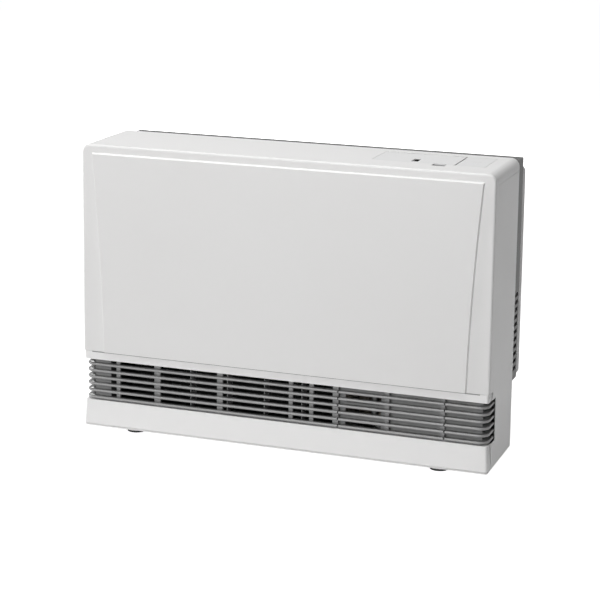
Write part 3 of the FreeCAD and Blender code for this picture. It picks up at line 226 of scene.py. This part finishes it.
finish("white_paint", powder_coat, grey(0.84, 0.004), grey(0.81, 0.008), (0.30, 0.42), (0.10, 0.0004))
# A lighter copy of the white paint: painted light that brightens the base and rail of the lower front
finish("lit_white_paint", powder_coat, grey(0.91, 0.004), grey(0.885, 0.006), (0.30, 0.42), (0.10, 0.0004))
finish("lid_plastic", mould_grain, grey(0.80), grey(0.78), (0.32, 0.45), (0.06, 0.0003))
finish("tray_plastic", mould_grain, grey(0.46), grey(0.42), (0.45, 0.6), (0.10, 0.0003))
finish("key_plastic", mould_grain, (0.50, 0.53, 0.56), (0.46, 0.49, 0.53), (0.4, 0.55), (0.08, 0.0003))
finish("window_plastic", mould_grain, grey(0.075), grey(0.060), (0.16, 0.24), (0.01, 0.0001), specular=0.05)
finish("lens_black", mould_grain, grey(0.003), grey(0.001), (0.12, 0.2), (0.01, 0.0001), specular=0.0)
finish("mark_ink", mould_grain, grey(0.10), grey(0.07), (0.4, 0.55), (0.06, 0.0002))
finish("silver_paint", powder_coat, grey(0.28), grey(0.24), (0.32, 0.46), (0.10, 0.0003),
       metal=0.25, Peel=900.0)
finish("grey_paint", powder_coat, grey(0.32), grey(0.28), (0.45, 0.6), (0.10, 0.0003))
finish("black_paint", powder_coat, grey(0.005), grey(0.003), (0.75, 0.9), (0.10, 0.0003), specular=0.15)
finish("vane_paint", powder_coat, grey(0.42), grey(0.36), (0.4, 0.55), (0.10, 0.0003))
# Grey of the strip under the front panel's lower edge: painted shade for the shadow line under the panel's
# overhang
finish("shade_strip_grey", mould_grain, grey(0.30), grey(0.26), (0.6, 0.8), (0.12, 0.0003))
finish("pipe_steel", metal_streaks, grey(0.13), grey(0.08), (0.45, 0.62), (0.06, 0.0002), metal=1.0)
finish("zinc_steel", zinc_spangle, grey(0.62), grey(0.42), (0.28, 0.46), (0.05, 0.0002), metal=1.0)
finish("bright_steel", metal_streaks, grey(0.66), grey(0.52), (0.18, 0.34), (0.06, 0.0002), metal=1.0)
finish("heat_steel", metal_streaks, (0.52, 0.48, 0.42), (0.36, 0.30, 0.25), (0.3, 0.5), (0.06, 0.0002),
       metal=1.0)
finish("fan_aluminium", metal_streaks, grey(0.72), grey(0.60), (0.26, 0.4), (0.05, 0.0002), metal=1.0)
finish("motor_paint", powder_coat, grey(0.045), grey(0.03), (0.35, 0.5), (0.12, 0.0003))
finish("wheel_plastic", mould_grain, grey(0.035), grey(0.022), (0.42, 0.6), (0.12, 0.0003))
finish("hose_rubber", mould_grain, grey(0.03), grey(0.018), (0.55, 0.75), (0.15, 0.0004))
finish("brass", metal_streaks, (0.78, 0.57, 0.25), (0.56, 0.38, 0.15), (0.24, 0.42), (0.06, 0.0002),
       metal=1.0)
finish("valve_aluminium", mould_grain, grey(0.6), grey(0.5), (0.38, 0.55), (0.2, 0.0004),
       metal=1.0, Grain=700.0)
finish("white_ceramic", powder_coat, grey(0.8), (0.76, 0.75, 0.72), (0.12, 0.25), (0.05, 0.0002))
finish("board_green", metal_streaks, (0.02, 0.13, 0.05), (0.03, 0.18, 0.07), (0.3, 0.45), (0.05, 0.0002))
finish("plenum_plastic", mould_grain, grey(0.06), grey(0.045), (0.45, 0.62), (0.12, 0.0004))
finish("cover_plastic", mould_grain, grey(0.80), grey(0.76), (0.42, 0.56), (0.10, 0.0003))
finish("filter_plastic", filter_net, grey(0.45), grey(0.02), (0.45, 0.6), (0.15, 0.0004))
finish("foot_plastic", mould_grain, grey(0.57), grey(0.53), (0.42, 0.56), (0.10, 0.0003))
finish("foot_rubber", mould_grain, grey(0.02), grey(0.012), (0.6, 0.8), (0.15, 0.0004))

for node in nodes.values():
    slot_name = node.material_slots[0].material.name.split(".")[0]
    for slot in node.material_slots:
        slot.material = finishes[slot_name]

# Nodes whose finish differs from the rest of their slot; the base and rail take the lighter copy of the white
# paint, painted light for the lower front
for name, own in (("base_pan", "lit_white_paint"), ("louvre_rail", "lit_white_paint"),
                  ("outlet_vanes", "vane_paint"), ("gas_pipe", "pipe_steel")):
    nodes[name].material_slots[0].material = finishes[own]


# Modelling helpers

# Slack when edges and points are picked by place
NEAR = 0.0001
# Gap or bite of a new piece on what carries it
SEAT = 0.0001
# Least part of a face's normal along the axis that the face looks along
FACING = 0.9
# Distance in which points are merged, and the angle up to which faces are shaded as one surface
MERGE_DISTANCE, SMOOTH_ANGLE = 0.000002, math.radians(35)


def begin():
    if bpy.context.object is not None and bpy.context.object.mode != "OBJECT":
        bpy.ops.object.mode_set(mode="OBJECT")
    bpy.ops.object.select_all(action="DESELECT")


def pick(piece):
    begin()
    piece.select_set(True)
    bpy.context.view_layer.objects.active = piece


def open_mesh(piece):
    pick(piece)
    bpy.ops.object.mode_set(mode="EDIT")
    bpy.ops.mesh.select_all(action="SELECT")


def close_mesh():
    bpy.ops.object.mode_set(mode="OBJECT")


def choose(piece, mode, test):
    bpy.ops.mesh.select_mode(type=mode)
    bpy.ops.mesh.select_all(action="DESELECT")
    shape = bmesh.from_edit_mesh(piece.data)
    parts = {"FACE": shape.faces, "EDGE": shape.edges, "VERT": shape.verts}
    for part in parts[mode]:
        part.select_set(test(part))
    shape.select_flush_mode()
    bmesh.update_edit_mesh(piece.data)


def choose_faces(piece, test):
    choose(piece, "FACE", lambda face: test(face.normal))


def choose_edges(piece, test):
    choose(piece, "EDGE", lambda edge: test(edge.verts[0].co, edge.verts[1].co))


def choose_points(piece, test):
    choose(piece, "VERT", lambda point: test(point.co))


# A disc or a block keeps its place in its object while it is shaped, with size and turn in its mesh
def sized(size):
    piece = bpy.context.object
    piece.scale = size
    bpy.ops.object.transform_apply(location=False, rotation=True, scale=True)
    return piece


def add_disc(size, place, sides=32, turn=(0.0, 0.0, 0.0)):
    begin()
    bpy.ops.mesh.primitive_cylinder_add(vertices=sides, radius=1.0, depth=1.0, location=place, rotation=turn)
    return sized(size)


def add_block(size, place):
    begin()
    bpy.ops.mesh.primitive_cube_add(size=1.0, location=place)
    return sized(size)


def soften(piece, offset, test, segments=2):
    open_mesh(piece)
    choose_edges(piece, test)
    bpy.ops.mesh.bevel(offset=offset, segments=segments, affect="EDGES")
    close_mesh()


def cut_away(piece, tool):
    pick(piece)
    cut = piece.modifiers.new("cut", "BOOLEAN")
    cut.operation = "DIFFERENCE"
    cut.solver = "EXACT"
    cut.object = tool
    bpy.ops.object.modifier_apply(modifier="cut")
    bpy.data.objects.remove(tool)


def copy_to(piece, shift):
    pick(piece)
    bpy.ops.object.duplicate(linked=False)
    bpy.ops.transform.translate(value=shift)
    return bpy.context.object


def join_up(pieces):
    pick(pieces[0])
    for piece in pieces:
        piece.select_set(True)
    bpy.ops.object.join()
    return bpy.context.object


# Gives a finished piece its place in its mesh, then its name, finish and body
def settle(piece, name, body, slot, *stands_for):
    pick(piece)
    bpy.ops.object.transform_apply(location=True, rotation=True, scale=True)
    open_mesh(piece)
    bpy.ops.mesh.remove_doubles(threshold=MERGE_DISTANCE)
    bpy.ops.mesh.normals_make_consistent(inside=False)
    close_mesh()
    bpy.ops.object.shade_smooth_by_angle(angle=SMOOTH_ANGLE)
    piece.name = name
    piece.data.name = name
    piece.data.materials.clear()
    piece.data.materials.append(finishes[slot])
    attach(piece, body)
    if stands_for:
        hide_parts(*stands_for)


# Smoked window of the lid, with an oval signal lens sunk in its right half
def lid_window():
    low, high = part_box("lid_window")
    size, middle = high - low, (high + low) / 2
    corner_bend, rim_bend = 0.0012, 0.00025
    plate = add_block(size, middle)
    soften(plate, corner_bend, lambda a, b: abs(a.z - b.z) > size.z / 2, 4)
    soften(plate, rim_bend, lambda a, b: min(a.z, b.z) > size.z / 2 - NEAR)
    lens_wide, lens_deep, lens_thick, play = 0.0045, 0.0108, 0.0006, 0.0002
    pocket, lens_inset = 0.0014, 0.0056
    seat = Vector((high.x - lens_inset, middle.y, high.z))
    cut_away(plate, add_disc((lens_wide + play, lens_deep + play, pocket), seat, 40))
    settle(plate, "smoked_window", "control_lid", "window_plastic", "lid_window")
    lens = add_disc((lens_wide, lens_deep, lens_thick), seat - Vector((0.0, 0.0, lens_thick)), 40)
    open_mesh(lens)
    choose_faces(lens, lambda normal: normal.z > FACING)
    bpy.ops.mesh.inset(thickness=0.0007, depth=0.0002)
    bpy.ops.mesh.inset(thickness=0.0010, depth=0.0001)
    close_mesh()
    settle(lens, "signal_lens", "control_lid", "lens_black")


# Raised marks on the keys under the lid
MARK_RISE, MARK_BEND = 0.0006, 0.0002


def key_top(node):
    low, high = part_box(node)
    return Vector(((low.x + high.x) / 2, (low.y + high.y) / 2, high.z + MARK_RISE / 2 - SEAT))


def soften_mark(mark):
    soften(mark, MARK_BEND, lambda a, b: min(a.z, b.z) > MARK_RISE / 2 - NEAR)


def arrow_mark(node, heading):
    radius = 0.0042
    arrow = add_disc((radius, radius, MARK_RISE), key_top(node), 3, (0.0, 0.0, heading))
    soften_mark(arrow)
    settle(arrow, node + "_arrow", node, "mark_ink")


def clock_mark(node):
    radius, ring_width, sink = 0.0044, 0.0010, 0.0004
    hand_width, long_length, long_shift, short_length, short_shift = 0.0008, 0.0030, 0.0012, 0.0022, 0.0009
    seat = key_top(node)
    ring = add_disc((radius, radius, MARK_RISE), seat, 40)
    open_mesh(ring)
    choose_faces(ring, lambda normal: normal.z > FACING)
    bpy.ops.mesh.inset(thickness=ring_width)
    bpy.ops.mesh.extrude_region_move(TRANSFORM_OT_translate={"value": (0.0, 0.0, -sink)})
    close_mesh()
    long_hand = add_block((hand_width, long_length, MARK_RISE), seat + Vector((0.0, long_shift, 0.0)))
    short_hand = add_block((short_length, hand_width, MARK_RISE), seat + Vector((short_shift, 0.0, 0.0)))
    soften_mark(long_hand)
    soften_mark(short_hand)
    settle(join_up([ring, long_hand, short_hand]), node + "_clock", node, "mark_ink")


def leaf_mark(node):
    half_length, half_width, tip = 0.0040, 0.0025, 0.0016
    leaf = add_disc((half_length, half_width, MARK_RISE), key_top(node), 28)
    open_mesh(leaf)
    choose_points(leaf, lambda point: point.x > half_length - NEAR)
    bpy.ops.transform.translate(value=(tip, 0.0, 0.0))
    close_mesh()
    soften_mark(leaf)
    settle(leaf, node + "_leaf", node, "mark_ink")


# Pan-head screws with a cross recess, their heads towards the back
TO_BACK = (math.radians(-90.0), 0.0, 0.0)
CROSS_LENGTH, CROSS_WIDTH = 1.2, 0.26


def pan_head(place, radius, height):
    head = add_disc((radius, radius, height), place, 32, TO_BACK)
    soften(head, height * 0.5, lambda a, b: min(a.y, b.y) > height / 2 - NEAR, 4)
    recess = place + Vector((0.0, height / 2, 0.0))
    cut_away(head, add_block((radius * CROSS_LENGTH, height, radius * CROSS_WIDTH), recess))
    cut_away(head, add_block((radius * CROSS_WIDTH, height, radius * CROSS_LENGTH), recess))
    return head


def cover_screws():
    low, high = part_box("cover_screws")
    radius, height = 0.0039, 0.0024
    inset = Vector((0.004, 0.0, 0.004))
    first = low + inset
    first.y = high.y - height / 2
    run = high - low - 2 * inset
    heads = [pan_head(first, radius, height)]
    for column in range(2):
        for row in range(3):
            if column or row:
                heads.append(copy_to(heads[0], (column * run.x, 0.0, row * run.z / 2)))
    settle(join_up(heads), "cover_screw_heads", "cabinet", "zinc_steel", "cover_screws")


def panel_screws():
    low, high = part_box("back_panel")
    radius, height, side_inset, foot_inset, upper_row = 0.0036, 0.0018, 0.012, 0.016, 0.095
    first = Vector((low.x + side_inset, high.y + height / 2 - SEAT, low.z + foot_inset))
    run = high.x - low.x - 2 * side_inset
    heads = [pan_head(first, radius, height)]
    for share, rise in ((0.0, upper_row), (0.25, 0.0), (0.5, 0.0), (0.75, 0.0), (1.0, 0.0), (1.0, upper_row)):
        heads.append(copy_to(heads[0], (share * run, 0.0, rise)))
    settle(join_up(heads), "panel_screw_heads", "cabinet", "zinc_steel")


# One ridge of a thread, repeated along Y
def thread_ridges(ridge, middle, pitch, turns, root_share):
    open_mesh(ridge)
    bpy.ops.mesh.bisect(plane_co=middle, plane_no=(0.0, 1.0, 0.0))
    choose_faces(ridge, lambda normal: abs(normal.y) > FACING)
    bpy.ops.transform.resize(value=(root_share, 1.0, root_share), center_override=middle)
    bpy.ops.mesh.delete(type="FACE")
    close_mesh()
    row = ridge.modifiers.new("row", "ARRAY")
    row.count = turns
    row.use_relative_offset = False
    row.use_constant_offset = True
    row.constant_offset_displace = (0.0, pitch, 0.0)
    row.use_merge_vertices = True
    row.merge_threshold = 0.00001
    pick(ridge)
    bpy.ops.object.modifier_apply(modifier="row")
    open_mesh(ridge)
    bpy.ops.mesh.fill_holes(sides=0)
    close_mesh()


# Gas union: hexagon inside the case, shoulder in the panel, bored stub with thread ridges
def gas_union():
    low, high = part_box("gas_inlet_union")
    nut_radius, nut_length, nut_bend = 0.014, 0.012, 0.0010
    shoulder_radius, shoulder_step, shoulder_bend = 0.0125, 0.002, 0.0005
    core_radius, bore_wall, bore_depth = 0.0094, 0.0034, 0.022
    ridge_radius, root_share, pitch, turns = 0.01048, 0.90, 0.0018, 12
    wall_front, wall_back = low.y + nut_length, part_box("back_panel")[1].y
    start = wall_back + shoulder_step
    x, z = (low.x + high.x) / 2, (low.z + high.z) / 2

    def round_bar(radius, front, back, sides=48):
        return add_disc((radius, radius, back - front), (x, (front + back) / 2, z), sides, TO_BACK)

    nut = round_bar(nut_radius, low.y, wall_front, 6)
    soften(nut, nut_bend, lambda a, b: True)
    shoulder = round_bar(shoulder_radius, wall_front, start)
    soften(shoulder, shoulder_bend, lambda a, b: abs(a.y - b.y) < NEAR)
    core = round_bar(core_radius, start, high.y)
    open_mesh(core)
    choose_faces(core, lambda normal: normal.y > FACING)
    bpy.ops.mesh.inset(thickness=bore_wall)
    bpy.ops.mesh.extrude_region_move(TRANSFORM_OT_translate={"value": (0.0, -bore_depth, 0.0)})
    close_mesh()
    ridge = round_bar(ridge_radius, start, start + pitch)
    thread_ridges(ridge, (x, start + pitch / 2, z), pitch, turns, root_share)
    settle(join_up([nut, shoulder, core, ridge]), "threaded_gas_union", "cabinet", "brass", "gas_inlet_union")


# Rolled lower edge of the base, under the skirt along the front and both sides
def rolled_edge():
    low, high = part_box("base_pan")
    rise, depth, inset, corner_bend, roll_bend = 0.0022, 0.006, 0.0004, 0.005, 0.0018
    size = Vector((high.x - low.x - 2 * inset, high.y - low.y - inset, rise))
    middle = Vector(((low.x + high.x) / 2, (low.y + inset + high.y) / 2, low.z - rise / 2))

    def lower_rim(a, b):
        return max(a.z, b.z) < NEAR - rise / 2 and min(a.y, b.y) < size.y / 2 - NEAR

    rim = add_block(size, middle)
    soften(rim, corner_bend, lambda a, b: abs(a.z - b.z) > rise / 2 and a.y < 0, 6)
    soften(rim, roll_bend, lower_rim, 4)
    cut_away(rim, add_block((size.x - 2 * depth, size.y, rise * 2), middle + Vector((0.0, depth, 0.0))))
    # Takes the lighter copy of the white paint, painted light, like the base it rolls from
    settle(rim, "rolled_base_edge", "cabinet", "lit_white_paint")


# Black sheet over the inner edge of the left backing plate: painted shade, a dark sheet that stands in for
# the shadowed gap at the plate's edge
def outlet_shade_sheet():
    low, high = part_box("louvre_backing_left")
    cover, overlap, thick, end_gap, rim_bend = 0.0180, 0.0006, 0.0009, 0.0005, 0.0003
    foot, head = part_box("base_pan")[1].z + end_gap, high.z - end_gap
    tall, level = head - foot, (head + foot) / 2
    start, end = high.x - cover, high.x + overlap
    lip = add_block((end - start, thick, tall), ((start + end) / 2, low.y - SEAT - thick / 2, level))
    soften(lip, rim_bend, lambda a, b: max(a.y, b.y) < 0.0)
    open_mesh(lip)
    choose_faces(lip, lambda normal: normal.y < -0.99)
    bpy.ops.mesh.inset(thickness=0.0016)
    bpy.ops.mesh.inset(thickness=0.0004, depth=-0.0003)
    close_mesh()
    settle(lip, "outlet_side_shade_sheet", "cabinet", "black_paint")


# Grey strip let into the top of the rail, under the lower edge of the front panel: painted shade that stands
# in for the shadow line under the panel's overhang
def panel_shade_strip():
    low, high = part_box("louvre_rail")
    proud, width, tall, bend = 0.0003, 0.0015, 0.0018, 0.0223
    size = Vector((high.x - low.x + 2 * proud, high.y - low.y + proud, tall))
    middle = Vector(((low.x + high.x) / 2, (low.y + high.y - proud) / 2, high.z - SEAT - tall / 2))

    def upright_front(a, b):
        return abs(a.z - b.z) > tall / 2 and a.y < 0

    shade_strip = add_block(size, middle)
    soften(shade_strip, bend, upright_front, 14)
    core = add_block((size.x - 2 * width, size.y, tall * 2), middle + Vector((0.0, width, 0.0)))
    soften(core, bend - width, upright_front, 14)
    cut_away(shade_strip, core)
    settle(shade_strip, "panel_shade_strip", "cabinet", "shade_strip_grey")


lid_window()
arrow_mark("temperature_up_key", 0.0)
arrow_mark("temperature_down_key", math.pi)
clock_mark("timer_key")
leaf_mark("economy_key")
cover_screws()
panel_screws()
gas_union()
rolled_edge()
outlet_shade_sheet()
panel_shade_strip()


# Floor, light and camera

# 1 for rays that show the surroundings (from the camera, off a gloss or through glass),
# 0 for rays that only carry light
def seen_rays(tree):
    ray = tree.nodes.new("ShaderNodeLightPath")
    seen = math_node(tree, "MAXIMUM", ray.outputs["Is Camera Ray"], ray.outputs["Is Glossy Ray"])
    return math_node(tree, "MAXIMUM", seen, ray.outputs["Is Transmission Ray"])


def floor_material():
    paper_grey, seen_level = 0.60, 0.96
    material = bpy.data.materials.new("studio_floor")
    material.use_nodes = True
    tree = material.node_tree
    tree.nodes.remove(tree.nodes["Principled BSDF"])
    paper = tree.nodes.new("ShaderNodeBsdfDiffuse")
    paper.inputs["Color"].default_value = (paper_grey, paper_grey, paper_grey, 1.0)
    lift = tree.nodes.new("ShaderNodeEmission")
    both = tree.nodes.new("ShaderNodeAddShader")
    tree.links.new(math_node(tree, "MULTIPLY", seen_rays(tree), seen_level), lift.inputs["Strength"])
    tree.links.new(paper.outputs[0], both.inputs[0])
    tree.links.new(lift.outputs[0], both.inputs[1])
    tree.links.new(both.outputs[0], tree.nodes["Material Output"].inputs["Surface"])
    return material


def add_floor():
    begin()
    bpy.ops.mesh.primitive_plane_add(size=90.0, location=(0.0, 0.0, 0.0))
    floor = bpy.context.object
    floor.name = "studio_floor"
    floor.data.materials.append(floor_material())


def add_world():
    fill_level, seen_level = 0.06, 1.0
    world = bpy.data.worlds.new("studio_world")
    bpy.context.scene.world = world
    world.use_nodes = True
    tree = world.node_tree
    sky = tree.nodes["Background"]
    sky.inputs["Color"].default_value = (1.0, 1.0, 1.0, 1.0)
    level = tree.nodes.new("ShaderNodeMapRange")
    level.inputs["To Min"].default_value = fill_level
    level.inputs["To Max"].default_value = seen_level
    tree.links.new(seen_rays(tree), level.inputs["Value"])
    tree.links.new(level.outputs["Result"], sky.inputs["Strength"])


def add_softbox(name, place, target, size, power):
    light = bpy.data.lights.new(name, "AREA")
    light.shape = "RECTANGLE"
    light.size, light.size_y = size
    light.energy = power
    lamp = bpy.data.objects.new(name, light)
    bpy.context.scene.collection.objects.link(lamp)
    lamp.location = place
    lamp.rotation_mode = "QUATERNION"
    lamp.rotation_quaternion = (Vector(target) - Vector(place)).to_track_quat("-Z", "Y")


# Camera fitted to the edges of the heater in the photo
def add_camera():
    place = (1.3930, -3.9728, 1.3779)
    yaw, pitch, roll = math.radians(19.48), math.radians(11.36), math.radians(0.72)
    right = Vector((math.cos(yaw), math.sin(yaw), 0.0))
    ahead = Vector((-math.sin(yaw) * math.cos(pitch), math.cos(yaw) * math.cos(pitch), -math.sin(pitch)))
    up = right.cross(ahead)
    across = math.cos(roll) * right + math.sin(roll) * up
    above = math.cos(roll) * up - math.sin(roll) * right
    data = bpy.data.cameras.new("photo_camera")
    data.sensor_fit = "HORIZONTAL"
    data.sensor_width = 36.0
    data.lens = 117.6
    data.shift_y = -0.1667
    data.clip_end = 200.0
    camera = bpy.data.objects.new("photo_camera", data)
    bpy.context.scene.collection.objects.link(camera)
    turn = Matrix((across, above, -ahead)).transposed().to_4x4()
    camera.matrix_world = Matrix.Translation(place) @ turn
    bpy.context.scene.camera = camera


add_floor()
add_world()
add_softbox("key_softbox", (-1.0, -5.2, 1.7), (0.0, 0.0, 0.2), (2.4, 2.4), 112.0)
add_softbox("left_softbox", (-5.2, -1.05, 0.9), (-0.2, -0.15, 0.35), (0.7, 1.4), 76.0)
add_softbox("overhead_strip", (-0.3, -0.7, 3.0), (0.0, -0.1, 0.4), (3.2, 0.7), 54.0)
add_softbox("rear_softbox", (-1.0, 4.2, 0.38), (0.0, 0.0, 0.36), (2.6, 0.5), 70.0)
add_camera()
bpy.context.scene.view_settings.view_transform = "Standard"
